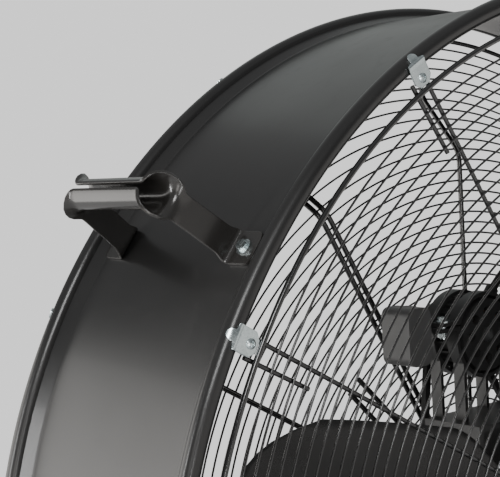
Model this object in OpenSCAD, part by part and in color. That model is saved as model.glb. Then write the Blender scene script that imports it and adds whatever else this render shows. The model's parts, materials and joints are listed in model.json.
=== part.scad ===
// Drum fan: a rolled steel drum on a wheeled stand, with domed wire guards,
// a four-blade propeller and a belt drive behind it.
// The fan axis runs along Y, the air leaves towards -Y, and Z is up.
// The origin is on the floor under the middle of the drum.

/* [Drum] */
// Radius over the rolled rims
rim_r = 560; // [540:1:580]
// Width over the rolled rims, along the fan axis
drum_w = 262; // [250:1:280]
// Height of the fan axis above the floor
axis_h = 625; // [610:1:650]
// Thickness of the drum sheet
sheet = 1.5; // [1.2:0.1:2]
// Radius of the rolled bead at each rim
bead_r = 8; // [7:0.5:9]

/* [Guards] */
// Spacing of the guard rings
ring_pitch = 11.4; // [11:0.1:16]
// Diameter of the ring wire
ring_wire = 2.2; // [2:0.1:3]
// Diameter of the front spokes
spoke_wire = 4; // [3.5:0.1:5]
// Diameter of the rear rods
rod_wire = 5.6; // [5:0.1:6]
// How far the front guard domes outwards
dome = 20; // [10:1:26]
// How far the middle of the rear guard is set in from the rear rods' outer run
rear_step = 52; // [48:1:54]
// Number of clips on each rim
clips = 12; // [12:12:12]

/* [Handles] */
// Angle of each handle from the top of the drum
handle_angle = 52; // [45:1:60]
// Height of the middle of the grip above the drum
grip_h = 78; // [70:1:90]
// Outer diameter of the rolled grip
grip_d = 26; // [22:1:30]
// Length of the rolled grip
grip_l = 112; // [100:1:124]

/* [Blades] */
// Radius over the blade tips
blade_r = 455; // [440:1:490]
// Half of the blade's width
blade_half = 112; // [90:1:118]
// Pitch of the blades
blade_pitch = 18; // [12:1:20]
// Angle of the first blade from the top of the drum
blade_start = 79; // [0:1:89]

/* [Drive] */
// Height of the motor above the fan axis
motor_h = 214; // [208:1:220]
// Distance of the motor from the middle, to the left
motor_x = -52; // [-56:1:-48]
// Radius over the motor's fins
motor_r = 40; // [38:1:42]
// Outer radius of the driven pulley
pulley_r = 108; // [90:1:112]
// Outer radius of the motor pulley
motor_pulley_r = 31; // [28:1:36]

/* [Stand] */
// Radius of the wheels
wheel_r = 80; // [70:1:84]
// Width of the wheels
wheel_w = 36; // [30:1:40]
// Distance of the axle from the middle
axle_x = 350; // [345:1:360]
// Distance of the foot bar from the middle
foot_x = 292; // [280:1:300]

/* [Hidden] */
$fn = 96;
half_w = drum_w / 2;
bead_at = rim_r - bead_r;
body_r = bead_at - 6;
inner_r = body_r - sheet;
crease_y = half_w - 27;
fit = 0.05;
gap = 0.3;

// Guards
clip_t = 1.5;
clip_w = 21;
clip_in = rim_r - 29;
screw_r = rim_r - 22;
guard_ring_r = 0.943 * rim_r;
guard_ring_wire = 5;
spoke_y = half_w - spoke_wire / 2 - 0.8;
rod_y = half_w - rod_wire / 2;
spoke_end = rim_r - 19;
rod_end = rim_r - 27;
hub_ring_r = 74;
dome_r = (pow(spoke_end, 2) + pow(dome, 2)) / (2 * dome);
front_rings = floor((guard_ring_r - 10 - hub_ring_r - 6) / ring_pitch);
rear_flat_r = 0.715 * rim_r;
rear_bend_r = 0.83 * rim_r;
rear_ring_in = 62;
rear_rings = floor((guard_ring_r - 10 - rear_ring_in) / ring_pitch);
double_gap = 9;
inner_pair_gap = 18;
inner_pair_r = 0.43 * rim_r;

// Handles
handle_t = 2.5;
foot_in = 70;
foot_out = 103;
foot_w = 31;
handle_leg_w = 25;
handle_bolt_y = 88;
handle_bolt_hole = 3.3;
leg_top_y = grip_l / 2 + 3;

// Drive
blade_mid_y = -72;
shaft_r = 12.5;
shaft_front = -104;
shaft_back = 70;
hub_r = 42;
arm_w = 50;
arm_t = 4;
blade_t = 2;
blade_root = 104;
tip_drop = 90;
arm_end = 196;
pulley_y = 60;
pulley_w = 16;
belt_depth = 10;
belt_t = 7;
belt_w = 6;
motor_front = 0;
motor_back = 50;
bell_l = 8;
stator_r = motor_r - 7;
rotor_r = 18;
beam_top = -36.5;
beam_h = 42;
beam_w = 26;
beam_top_t = 3;
beam_ys = [-15, 33];
plate_top = 130;
plate_t = 6;
plate_l = 50;
plate_r = 134;
plate_front = -28;
plate_back = 46;
arm_x = 34;
arm_plate_t = 4;
strap_t = 4;
strap_w = 14;
strap_ys = [2, 34];
lug_a = 20;
lug_l = 26;
lug_z = motor_r * sin(lug_a);
lug_bolt_x = motor_r + 16;
pad_bolt_a = [92, 100];
pad_bolt_y = [-22, 52];

// Capacitor box, beside the motor
cap_w = 31;
cap_h = 58;
cap_side = 70;
cap_low = -22;
cap_plate_t = 3;

// Switch box
box_angle = -26;
box_w = 110;
box_d = 80;
box_h = 54;
box_wall = 2;
knob_r = 21;

// Motor lead
lead_r = 4.5;
lead_y = 22;
gland_a = 42;
gland_y = 25;
lead_steps = 26;
lead_sides = 10;
lead_from = [-(body_r + 12) * sin(box_angle), lead_y, axis_h + (body_r + 12) * cos(box_angle)];
lead_out = [sin(box_angle), 0, -cos(box_angle)];
lead_to = [motor_x + (motor_r + 3) * sin(gland_a), gland_y, axis_h + motor_h + (motor_r + 3) * cos(gland_a)];
lead_in = [sin(gland_a), 0, cos(gland_a)];

// Stand
leg_y = 94;
leg_t = 4;
saddle_t = 3;
saddle_a = [138, 156];
saddle_bolt_a = [141.5, 152.5];
saddle_bolt_y = 60;
foot_h = 22;
bar_h = 30;
bar_w = 40;
bar_half = 184;
axle_r = 8;
wheel_y = 165;
axle_half = 190;

// ---------- Placing ----------

// The fan axis at its height
module on_axis() { translate([0, 0, axis_h]) children(); }

// Local Z is outwards from the fan axis, at angle a from the top towards -X
module around(a) { on_axis() rotate([0, -a, 0]) children(); }

module all_around(n, start = 0) { for (i = [0:n - 1]) around(start + i * 360 / n) children(); }

// A cylinder along Y from y0 to y1
module rod(r, y0, y1) { translate([0, y0, 0]) rotate([-90, 0, 0]) cylinder(r = r, h = y1 - y0); }

module tube(r, bore, y0, y1) {
    difference() {
        rod(r, y0, y1);
        rod(bore, y0 - 1, y1 + 1);
    }
}

// A 2-D outline (x, z) extruded along Y from y0 to y1
module along_y(y0, y1) { translate([0, y1, 0]) rotate([90, 0, 0]) linear_extrude(y1 - y0) children(); }

// Revolves an outline (radius, y) about the fan axis
module revolve() { rotate([-90, 0, 0]) rotate_extrude($fn = 180) children(); }

module rounded_square(w, d, r) {
    square([w - 2 * r, d], center = true);
    square([w, d - 2 * r], center = true);
    for (x = [-1, 1], y = [-1, 1]) translate([x * (w / 2 - r), y * (d / 2 - r)]) circle(r);
}

// Part of a ring, from angle a0 to a1 in its own plane, anticlockwise from +X
module ring_sector(r0, r1, a0, a1) {
    difference() {
        circle(r1, $fn = 180);
        circle(r0, $fn = 180);
        half_plane(a0, -1, r1);
        half_plane(a1, 1, r1);
    }
}

// For sectors under 180 degrees: removes what lies past one edge
module half_plane(a, side, r) {
    rotate(a) translate([-2 * r, side > 0 ? 0 : -4 * r]) square([4 * r, 4 * r]);
}

// ---------- Fasteners: heads at z = 0 upwards, shanks downwards ----------

module hex_flange_bolt(r, flange, length) {
    cylinder(r = flange, h = 1.4);
    cylinder(r = r * 1.65, h = 5.2, $fn = 6);
    translate([0, 0, -length]) cylinder(r = r, h = length);
}

module hex_nut(r, depth) {
    difference() {
        cylinder(r = r * 1.75, h = depth, $fn = 6);
        translate([0, 0, -1]) cylinder(r = r + fit, h = depth + 2);
    }
}

module pan_screw(r, head, length) {
    difference() {
        intersection() {
            translate([0, 0, -head * 0.9]) sphere(r = head * 1.42, $fn = 48);
            cylinder(r = head, h = head);
        }
        for (a = [0, 90]) rotate(a) translate([-head * 0.55, -0.5, head * 0.25]) cube([head * 1.1, 1, head]);
    }
    translate([0, 0, -length]) cylinder(r = r, h = length);
}

// ---------- Drum ----------

// The step out to the bead, then the bead rolled over it with its lip left open
module rim_outline() {
    foot_y = half_w - 2 * bead_r + sheet / 2;
    polygon([[inner_r, crease_y - 1], [body_r, crease_y - 1], [body_r, crease_y],
             [bead_at + sheet / 2, foot_y], [bead_at - sheet, foot_y], [inner_r, crease_y + 1]]);
    translate([bead_at, half_w - bead_r]) difference() {
        circle(bead_r, $fn = 64);
        circle(bead_r - sheet, $fn = 64);
        translate([-bead_r - 1, -bead_r * 0.5]) square([bead_r, 1.2]);
    }
}

module drum_holes() {
    for (s = [-1, 1], y = [-1, 1])
        around(s * handle_angle) translate([0, y * handle_bolt_y, body_r - 20])
            cylinder(r = handle_bolt_hole, h = 40);
    for (a = saddle_bolt_a, s = [-1, 1], y = [-1, 1])
        around(s * a) translate([0, y * saddle_bolt_y, body_r - 20]) cylinder(r = 4.3, h = 40);
    for (s = [-1, 1], a = pad_bolt_a, y = pad_bolt_y)
        around(s * a) translate([0, y, body_r - 20]) cylinder(r = 4.3, h = 40);
    around(box_angle) translate([0, lead_y, body_r - 20]) cylinder(r = 8, h = 40);
}

module drum_shell() {
    color("#1c1d1d") difference() {
        on_axis() revolve() {
            translate([body_r - sheet, -crease_y]) square([sheet, 2 * crease_y]);
            rim_outline();
            mirror([0, 1]) rim_outline();
        }
        drum_holes();
    }
}

// ---------- Guards ----------

// Y of the front spokes' middle at radius r
function front_y(r) = -spoke_y - (sqrt(pow(dome_r, 2) - pow(r, 2)) - (dome_r - dome));

// Y of the rear rods' middle at radius r
function rear_y(r) = r > rear_bend_r ? rod_y
                   : r < rear_flat_r ? rod_y - rear_step
                   : rod_y - rear_step * (rear_bend_r - r) / (rear_bend_r - rear_flat_r);

module wire_ring(r, y, wire, sides = 24) {
    on_axis() translate([0, y, 0]) revolve() translate([r, 0]) circle(wire / 2, $fn = sides);
}

// A radial spoke bent to the dome, from radius r0 to r1, drawn in the plane above the axis
module domed_spoke(r0, r1) {
    a0 = asin(r0 / dome_r);
    a1 = asin(r1 / dome_r);
    translate([0, -spoke_y + dome_r - dome, 0]) rotate([0, -90, 0]) rotate([0, 0, -90 + a0])
        rotate_extrude(angle = a1 - a0, $fn = 400) translate([dome_r, 0]) circle(spoke_wire / 2, $fn = 12);
}

// Each ring sinks a little into the spokes, as a weld does
weld = 0.5;

module front_guard_frame() {
    ring_y = front_y(guard_ring_r) - (spoke_wire + guard_ring_wire) / 2 + weld;
    color("#151616") union() {
        wire_ring(guard_ring_r, ring_y, guard_ring_wire, 12);
        wire_ring(hub_ring_r, front_y(hub_ring_r) - spoke_wire + weld, spoke_wire, 12);
        all_around(clips, -0.6) domed_spoke(hub_ring_r - 6, spoke_end);
        all_around(clips, 1.2) domed_spoke(0.84 * rim_r, spoke_end - 4);
    }
}

module front_guard_rings() {
    lift = (spoke_wire + ring_wire) / 2 + 0.03;
    color("#191a1a") for (i = [1:front_rings]) {
        r = hub_ring_r + 4 + i * ring_pitch;
        wire_ring(r, front_y(r) - lift, ring_wire, 8);
    }
}

module front_centre_disc() {
    // Its back lies on the hub ring
    y = front_y(hub_ring_r) - 1.5 * spoke_wire + weld - fit - 1.9;
    color("#202121") on_axis() revolve() polygon([[0, y - 5], [40, y - 4.4], [66, y - 2.6], [74, y],
                                                  [78, y + 1.2], [76, y + 1.9], [0, y + 1.9]]);
}

// One rear rod in the plane above the axis: outer run, slope and flat run, joined by balls
module stepped_rod(r0, r1) {
    steps = [[r0, rear_y(r0)], [rear_flat_r, rear_y(rear_flat_r)], [rear_bend_r, rear_y(rear_bend_r)],
             [r1, rear_y(r1)]];
    for (i = [0:2]) bar_between(steps[i], steps[i + 1]);
    for (i = [1:2]) translate([0, steps[i][1], steps[i][0]]) sphere(rod_wire / 2, $fn = 32);
}

module bar_between(p, q) {
    along = [0, q[1] - p[1], q[0] - p[0]];
    translate([0, p[1], p[0]]) rotate([-atan2(along[1], along[2]), 0, 0])
        cylinder(r = rod_wire / 2, h = norm(along), $fn = 32);
}

module rear_guard_frame() {
    mid_y = rod_y - rear_step;
    color("#151616") union() {
        wire_ring(guard_ring_r, rod_y + (rod_wire + guard_ring_wire) / 2 - weld, guard_ring_wire);
        wire_ring(rear_ring_in - 12, mid_y + rod_wire - weld, rod_wire);
        all_around(clips / 2) stepped_rod(30, rod_end);
        for (s = [-1, 1]) all_around(clips / 2, 30) translate([s * double_gap / 2, 0, 0]) stepped_rod(44, rod_end);
        for (s = [-1, 1]) all_around(4, 45) translate([s * inner_pair_gap / 2, mid_y, 44])
            cylinder(r = rod_wire / 2, h = inner_pair_r - 44, $fn = 32);
        on_axis() rod(34, mid_y - rod_wire / 2, mid_y + rod_wire / 2);
    }
}

module rear_guard_rings() {
    lift = (rod_wire + ring_wire) / 2 + 0.03;
    slope = atan(rear_step / (rear_bend_r - rear_flat_r));
    color("#191a1a") for (i = [0:rear_rings]) {
        r = rear_ring_in + i * ring_pitch;
        on_slope = r > rear_flat_r - 2 && r < rear_bend_r + 1;
        wire_ring(r, rear_y(r) + (on_slope ? lift / cos(slope) : lift), ring_wire, 8);
    }
}

// A clip on the front rim: a plate under a screw, hooked over the bead
module clip_outline() {
    translate([bead_at, -half_w + bead_r]) {
        difference() {
            circle(bead_r + fit + clip_t, $fn = 64);
            circle(bead_r + fit, $fn = 64);
            rotate(-90) translate([-40, -40]) square([80, 40]);
            rotate(-10) translate([-40, 0]) square([80, 40]);
        }
    }
    translate([clip_in, -half_w - fit - clip_t]) square([bead_at - clip_in, clip_t]);
}

module front_clip() {
    difference() {
        translate([-clip_w / 2, 0, 0]) rotate([90, 0, 90]) linear_extrude(clip_w)
            mirror([1, -1]) clip_outline();
        translate([0, -half_w, screw_r]) rotate([90, 0, 0]) cylinder(r = 2.2, h = 10, center = true);
    }
}

module clip_screw() {
    translate([0, -half_w - fit - clip_t, screw_r]) rotate([90, 0, 0]) pan_screw(2, 4.2, 6);
}

module clip_nut() {
    translate([0, -half_w - fit, screw_r]) rotate([-90, 0, 0]) hex_nut(2, 3);
}

module front_clips() { color("#c9d3d8") all_around(clips) front_clip(); }
module rear_clips() { color("#c9d3d8") all_around(clips) mirror([0, 1, 0]) front_clip(); }
module front_clip_screws() { color("#d5dde0") all_around(clips) clip_screw(); }
module rear_clip_screws() { color("#d5dde0") all_around(clips) mirror([0, 1, 0]) clip_screw(); }
module front_clip_nuts() { color("#c9d3d8") all_around(clips) clip_nut(); }
module rear_clip_nuts() { color("#c9d3d8") all_around(clips) mirror([0, 1, 0]) clip_nut(); }

// ---------- Handles ----------

// One end of the handle in (y, z): foot, leg and the turn into the grip
module handle_leg_outline() {
    low = grip_h - grip_d / 2;
    polygon([[foot_out, 0.05], [foot_out, handle_t], [foot_in + 1.6, handle_t],
             [leg_top_y + 2.4, low - 4], [leg_top_y - 3, low + handle_t],
             [grip_l / 2 - 8, low + handle_t], [grip_l / 2 - 8, low],
             [leg_top_y - 4, low], [leg_top_y, low - 5], [foot_in - 1, 0.05]]);
}

module handle() {
    slot = 26;
    difference() {
        union() {
            translate([0, 0, body_r + grip_h]) along_y(-grip_l / 2, grip_l / 2) difference() {
                circle(grip_d / 2);
                circle(grip_d / 2 - handle_t);
                polygon([[0, 0], [grip_d * sin(slot / 2), grip_d * cos(slot / 2)],
                         [-grip_d * sin(slot / 2), grip_d * cos(slot / 2)]]);
            }
            for (s = [0, 1]) mirror([0, s, 0]) translate([-handle_leg_w / 2, 0, body_r]) rotate([90, 0, 90])
                linear_extrude(handle_leg_w) handle_leg_outline();
            for (s = [-1, 1]) translate([0, s * (foot_in + foot_out) / 2, body_r + 0.05])
                linear_extrude(handle_t - 0.05) rounded_square(foot_w, foot_out - foot_in, 7);
        }
        for (s = [-1, 1]) translate([0, s * handle_bolt_y, body_r - 5])
            cylinder(r = handle_bolt_hole, h = 20);
    }
}

module handle_left() { color("#232322") around(handle_angle) handle(); }
module handle_right() { color("#232322") around(-handle_angle) handle(); }

module handle_bolts() {
    color("#c9d3d8") for (s = [-1, 1], y = [-1, 1]) around(s * handle_angle)
        translate([0, y * handle_bolt_y, body_r + handle_t + 0.05]) hex_flange_bolt(3, 7, 14);
}

module handle_nuts() {
    color("#c9d3d8") for (s = [-1, 1], y = [-1, 1]) around(s * handle_angle)
        translate([0, y * handle_bolt_y, inner_r - 5.3]) hex_nut(3, 5);
}

// ---------- Cross frame, bearings and shaft ----------

module cross_frame() {
    pad_t = 4;
    color("#202121") difference() {
        union() {
            intersection() {
                on_axis() rod(inner_r - gap, -60, 80);
                for (y = beam_ys) translate([-inner_r, y - beam_w / 2, axis_h + beam_top - beam_h])
                    difference() {
                        cube([2 * inner_r, beam_w, beam_h]);
                        translate([-1, 3, -1]) cube([2 * inner_r + 2, beam_w - 6, beam_h + 1 - beam_top_t]);
                    }
            }
            for (s = [0, 1]) mirror([s, 0, 0]) on_axis() along_y(-31, 61)
                ring_sector(inner_r - gap - pad_t, inner_r - gap, -13, 1);
        }
        for (s = [-1, 1], a = pad_bolt_a, y = pad_bolt_y)
            around(s * a) translate([0, y, inner_r - 20]) cylinder(r = 4.3, h = 40);
        for (y = beam_ys, x = [-48, 48]) translate([x, y, axis_h + beam_top - 10]) cylinder(r = 5.3, h = 20);
    }
}

module cross_frame_bolts() {
    color("#c9d3d8") for (s = [-1, 1], a = pad_bolt_a, y = pad_bolt_y) around(s * a) translate([0, y, 0]) {
        translate([0, 0, body_r + fit]) hex_flange_bolt(4, 9, 16);
        translate([0, 0, inner_r - 11.5]) hex_nut(4, 7);
    }
}

module bearing_housings() {
    color("#2b2c2c") for (y = beam_ys) on_axis() translate([0, y, 0]) difference() {
        union() {
            rod(35, -12, 12);
            translate([-65, -12, beam_top]) cube([130, 24, 13]);
            translate([-30, -12, beam_top]) cube([60, 24, 20]);
        }
        rod(26, -13, 13);
        for (x = [-48, 48]) translate([x, 0, beam_top - 1]) cylinder(r = 5.3, h = 20);
    }
}

module bearings() {
    color("#b9bdbf") for (y = beam_ys) on_axis() translate([0, y, 0]) tube(25.97, shaft_r + 0.03, -12, 12);
}

module bearing_bolts() {
    color("#c9d3d8") for (y = beam_ys, x = [-48, 48]) translate([x, y, axis_h + beam_top]) {
        translate([0, 0, 13 + fit]) hex_flange_bolt(5, 10, 26);
        translate([0, 0, -beam_top_t - 8 - fit]) hex_nut(5, 8);
    }
}

module fan_shaft() { color("#b5b8ba") on_axis() rod(shaft_r, shaft_front, shaft_back); }

// ---------- Propeller ----------

// Local frame of a blade: Z out along it, X across it towards the leading edge, Y square to it
module blade_frames() {
    for (i = [0:3]) around(blade_start - i * 90) translate([0, blade_mid_y, 0]) rotate([0, 0, blade_pitch])
        children();
}

module fan_spider() {
    color("#2b2c2c") difference() {
        union() {
            on_axis() rod(hub_r, blade_mid_y - 24, blade_mid_y + 20);
            blade_frames() translate([-arm_w / 2, 0.4, 20]) cube([arm_w, arm_t, arm_end - 20]);
        }
        on_axis() rod(shaft_r + 0.02, shaft_front - 1, 0);
        blade_frames() rivet_places() rotate([90, 0, 0]) cylinder(r = 3.05, h = 20, center = true);
    }
}

module rivet_places() { for (x = [-15, 15], z = [128, 178]) translate([x, 0, z]) children(); }

// Half width of the blade at radius r: a paddle with a rounded root and tip
function half_width(r) =
    r < 190 ? blade_half * (0.52 + 0.48 * sin(90 * (r - blade_root) / (190 - blade_root)))
            : blade_half * (1 + 0.03 * sin(180 * (r - 190) / (blade_r - 190)));

// Camber: the sheet falls away from the arm on both sides of it
function camber(x, r) = -0.0006 * x * x * (r < 200 ? 1 : 1 + 0.15 * (r - 200) / 300);

// Outer end of the blade across its width, rounded at both corners
function tip_r(u) = sqrt(pow(blade_r, 2) - pow(blade_half * u, 2)) - tip_drop * pow(abs(u), 5);

rows = 16;
cols = 12;
function blade_point(i, j, side) =
    let (u = -1 + 2 * j / cols,
         f = i / rows,
         r = blade_root + f * (tip_r(u) - blade_root),
         x = u * half_width(r))
    [x, -0.3 + camber(x, r) - side * blade_t, r];

module blade() {
    n = cols + 1;
    m = (rows + 1) * n;
    points = [for (s = [0, 1], i = [0:rows], j = [0:cols]) blade_point(i, j, s)];
    quads = [for (i = [0:rows - 1], j = [0:cols - 1]) let (a = i * n + j) [a, a + n, a + n + 1, a + 1]];
    front = [for (q = quads) [q[3] + m, q[2] + m, q[1] + m, q[0] + m]];
    rim = concat([for (j = [0:cols]) j], [for (i = [1:rows]) i * n + cols],
                 [for (j = [1:cols]) rows * n + cols - j], [for (i = [1:rows - 1]) (rows - i) * n]);
    k = len(rim);
    sides = [for (i = [0:k - 1]) let (a = rim[i], b = rim[(i + 1) % k]) [a, b, b + m, a + m]];
    polyhedron(points, concat(quads, front, sides));
}

module fan_blades() { color("#2a2b2b") blade_frames() difference() {
    blade();
    rivet_places() rotate([90, 0, 0]) cylinder(r = 3.05, h = 20, center = true);
} }

module blade_rivets() {
    color("#b9bdbf") blade_frames() rivet_places() {
        rotate([90, 0, 0]) translate([0, 0, -4.4]) cylinder(r = 3, h = 7.4);
        rotate([90, 0, 0]) translate([0, 0, 2.9]) cylinder(r1 = 5.5, r2 = 3.5, h = 2);
        rotate([-90, 0, 0]) translate([0, 0, 4.45]) cylinder(r1 = 5.5, r2 = 3.5, h = 2);
    }
}

// ---------- Belt drive ----------

module groove_outline(r) {
    bottom = r - 12;
    polygon([[bottom, -3], [bottom, 3], [r + 0.1, 5], [r + 0.1, -5]]);
}

module pulley(r, bore, hub, hub_y0, hub_y1) {
    rim = 20;
    web = 4;
    revolve() difference() {
        union() {
            translate([max(r - rim, bore), -pulley_w / 2]) square([r - max(r - rim, bore), pulley_w]);
            translate([bore, -web / 2]) square([r - bore - 2, web]);
            translate([bore, hub_y0]) square([hub - bore, hub_y1 - hub_y0]);
        }
        groove_outline(r);
    }
}

module driven_pulley() {
    color("#3a3c3c") difference() {
        on_axis() translate([0, pulley_y, 0]) pulley(pulley_r, shaft_r + 0.02, 26, -12, 9);
        for (i = [0:4]) around(36 + i * 72) translate([0, pulley_y, 57]) rod(17, -20, 20);
    }
}

module motor_pulley() {
    color("#3a3c3c") at_motor() translate([0, pulley_y, 0]) pulley(motor_pulley_r, 8.02, 16, -8, 9);
}

// Outline of a loop round two circles, r_low at the fan axis and r_high at the motor. The straight runs
// sink by a hair into the circles, so that they cross them instead of only touching.
module loop_outline(r_low, r_high) {
    apart = norm([motor_x, motor_h]);
    lean = asin((r_low - r_high) / apart);
    low = r_low - 0.06;
    high = r_high - 0.06;
    circle(r_low, $fn = 180);
    translate([0, apart]) circle(r_high, $fn = 180);
    polygon([[low * cos(lean), low * sin(lean)],
             [high * cos(lean), apart + high * sin(lean)],
             [-high * cos(lean), apart + high * sin(lean)],
             [-low * cos(lean), low * sin(lean)]]);
}

module drive_belt() {
    low = pulley_r - belt_depth;
    high = motor_pulley_r - belt_depth;
    color("#101010") on_axis() along_y(pulley_y - belt_w / 2, pulley_y + belt_w / 2)
        rotate(atan(-motor_x / motor_h)) difference() {
            loop_outline(low + belt_t, high + belt_t);
            loop_outline(low, high);
        }
}

// ---------- Motor ----------

module at_motor() { translate([motor_x, 0, axis_h + motor_h]) children(); }

module motor_housing() {
    color("#17191a") at_motor() difference() {
        union() {
            rod(motor_r - 4, motor_front + bell_l, motor_back - bell_l);
            for (i = [0:23]) rotate([0, 7.5 + i * 15, 0])
                translate([-0.9, motor_front + bell_l + 1, motor_r - 5.5])
                    cube([1.8, motor_back - motor_front - 2 * bell_l - 2, 5.5]);
        }
        rod(stator_r, motor_front, motor_back);
    }
}

module bell(y0, y1, bore) {
    difference() {
        rod(motor_r - 3, y0, y1);
        rod(bore, y0 - 1, y1 + 1);
        for (i = [0:7]) rotate([0, i * 45, 0]) translate([0, 0, 24]) rod(5, y0 - 1, y1 + 1);
    }
}

module motor_front_bell() { color("#1d1f20") at_motor() bell(motor_front, motor_front + bell_l, 8.03); }
module motor_rear_bell() { color("#1d1f20") at_motor() bell(motor_back - bell_l, motor_back, 8.03); }

module motor_stator() { color("#8a5a33") at_motor() tube(stator_r - 0.1, rotor_r + 1, 12, 38); }
module motor_rotor() { color("#8d9092") at_motor() tube(rotor_r, 8.02, 13, 37); }
module motor_shaft() { color("#b5b8ba") at_motor() rod(8, motor_front + 4, pulley_y + 9); }

// The lower straps on their arms, the base plate and the two side walls it stands on
module motor_cradle() {
    r0 = motor_r + 0.2;
    base = plate_top - plate_t;
    arm_low = plate_top - motor_h - 1;
    color("#2a2b2b") union() {
        at_motor() difference() {
            for (y = strap_ys) along_y(y, y + strap_w) strap_outline(r0, -1);
            lug_holes();
        }
        at_motor() for (y = strap_ys, s = [0, 1]) mirror([s, 0, 0])
            translate([arm_x - arm_plate_t / 2, y, arm_low]) cube([arm_plate_t, strap_w, 1 - arm_low - 26]);
        translate([motor_x, plate_front, axis_h]) {
            translate([-plate_l, 0, base]) cube([plate_l + plate_r, plate_back - plate_front, plate_t]);
            for (x = [-plate_l, plate_r - plate_t]) translate([x, 0, beam_top])
                cube([plate_t, plate_back - plate_front, base - beam_top + 1]);
        }
    }
}

// Half a strap round the motor, side = -1 below and 1 above, with a lug at each end
module strap_outline(r0, side) {
    intersection() {
        difference() {
            circle(r0 + strap_t);
            circle(r0);
        }
        translate([-200, side > 0 ? lug_z + 1 : lug_z - 401]) square([400, 400]);
    }
    for (s = [0, 1]) mirror([s, 0]) translate([r0 * cos(lug_a) + 1.5, side > 0 ? lug_z + 1 : lug_z - 1 - strap_t])
        square([lug_l, strap_t]);
}

module lug_places() { for (s = [-1, 1], y = strap_ys) translate([s * lug_bolt_x, y + strap_w / 2, lug_z]) children(); }

module lug_holes() { lug_places() cylinder(r = 3.8, h = 40, center = true); }

module motor_band() {
    color("#2a2b2b") at_motor() difference() {
        union() {
            for (y = strap_ys) along_y(y, y + strap_w) strap_outline(motor_r + 0.2, 1);
            // The rear strap's left lug turns up into a plate that the capacitor box is fixed to
            along_y(strap_ys[1], strap_ys[1] + strap_w) translate([-cap_side + fit, lug_z + 1]) {
                square([cap_side - lug_bolt_x, strap_t]);
                square([cap_plate_t, 20]);
            }
        }
        lug_holes();
    }
}

module motor_clamp_bolts() {
    lift = strap_t + 1 + fit;
    color("#d5dde0") at_motor() lug_places() {
        translate([0, 0, lift]) hex_flange_bolt(3.5, 8, 2 * lift + 7);
        translate([0, 0, -lift - 5]) hex_nut(3.5, 5);
    }
}

module capacitor_box() {
    color("#8b8e8f") at_motor() along_y(12, 50)
        translate([-cap_side - cap_w / 2, cap_low + cap_h / 2]) rounded_square(cap_w, cap_h, 9);
}

module motor_lead_gland() {
    color("#101010") at_motor() rotate([0, gland_a, 0]) translate([0, gland_y, motor_r + 0.2]) difference() {
        union() {
            cylinder(r = 8.6, h = 6, $fn = 6);
            cylinder(r = 7, h = 16);
        }
        translate([0, 0, 2]) cylinder(r = lead_r + 0.3, h = 20);
    }
}

// The motor lead: a smooth bend from inside the switch box to the motor's gland
function bend(t, a, b, c, d) =
    pow(1 - t, 3) * a + 3 * pow(1 - t, 2) * t * b + 3 * (1 - t) * t * t * c + pow(t, 3) * d;
function lead_point(t) = bend(t, lead_from, lead_from + 170 * lead_out, lead_to + 90 * lead_in, lead_to);
function unit(v) = v / norm(v);

module motor_lead() {
    points = [for (i = [0:lead_steps])
        let (t = i / lead_steps,
             along = i == 0 ? lead_out : i == lead_steps ? -lead_in
                   : unit(lead_point(t + 0.01) - lead_point(t - 0.01)),
             side = unit(cross(along, [0, 1, 0])),
             up = cross(side, along))
        for (j = [0:lead_sides - 1])
            let (a = j * 360 / lead_sides) lead_point(t) + lead_r * (cos(a) * side + sin(a) * up)];
    walls = [for (i = [0:lead_steps - 1], j = [0:lead_sides - 1])
        let (a = i * lead_sides + j, b = i * lead_sides + (j + 1) % lead_sides)
            [a, a + lead_sides, b + lead_sides, b]];
    last = lead_steps * lead_sides;
    ends = [[for (j = [0:lead_sides - 1]) j], [for (j = [0:lead_sides - 1]) last + lead_sides - 1 - j]];
    color("#101010") polyhedron(points, concat(walls, ends));
}

module lead_grommet() {
    color("#101010") around(box_angle) translate([0, lead_y, inner_r - 3]) difference() {
        union() {
            cylinder(r = 11, h = 2.6);
            cylinder(r = 7.8, h = 6.5);
        }
        translate([0, 0, -1]) cylinder(r = lead_r + 0.5, h = 12);
    }
}

// ---------- Switch ----------

module box_outline(inset) { rounded_square(box_w - 2 * inset, box_d - 2 * inset, 8 - inset); }

module switch_box() {
    color("#1a1b1b") difference() {
        around(box_angle) translate([0, 0, body_r - 8]) linear_extrude(box_h + 8) box_outline(0);
        on_axis() rod(body_r + 0.1, -60, 60, $fn = 720);
        around(box_angle) translate([0, 0, body_r + 6]) linear_extrude(box_h) box_outline(box_wall);
        around(box_angle) translate([0, lead_y, body_r - 9]) cylinder(r = 8, h = 30);
        around(box_angle) translate([30, 0, body_r + 28]) rotate([-90, 0, 0]) cylinder(r = 8.1, h = 60);
    }
}

module switch_cover() {
    color("#202121") around(box_angle) translate([0, 0, body_r + box_h + fit]) difference() {
        union() {
            linear_extrude(2.5) box_outline(0);
            translate([0, 0, -3]) linear_extrude(3.5) difference() {
                box_outline(box_wall + 0.2);
                box_outline(box_wall + 2);
            }
        }
        translate([-18, 0, -5]) cylinder(r = 4.2, h = 20);
    }
}

module rotary_switch() {
    color("#4a4a48") around(box_angle) translate([-18, 0, body_r + box_h]) difference() {
        union() {
            translate([-15, -15, -34]) cube([30, 30, 33.9]);
            translate([0, 0, -1]) cylinder(r = 4.1, h = 6);
        }
        translate([0, 0, -12]) cylinder(r = 3.05, h = 20);
    }
}

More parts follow.
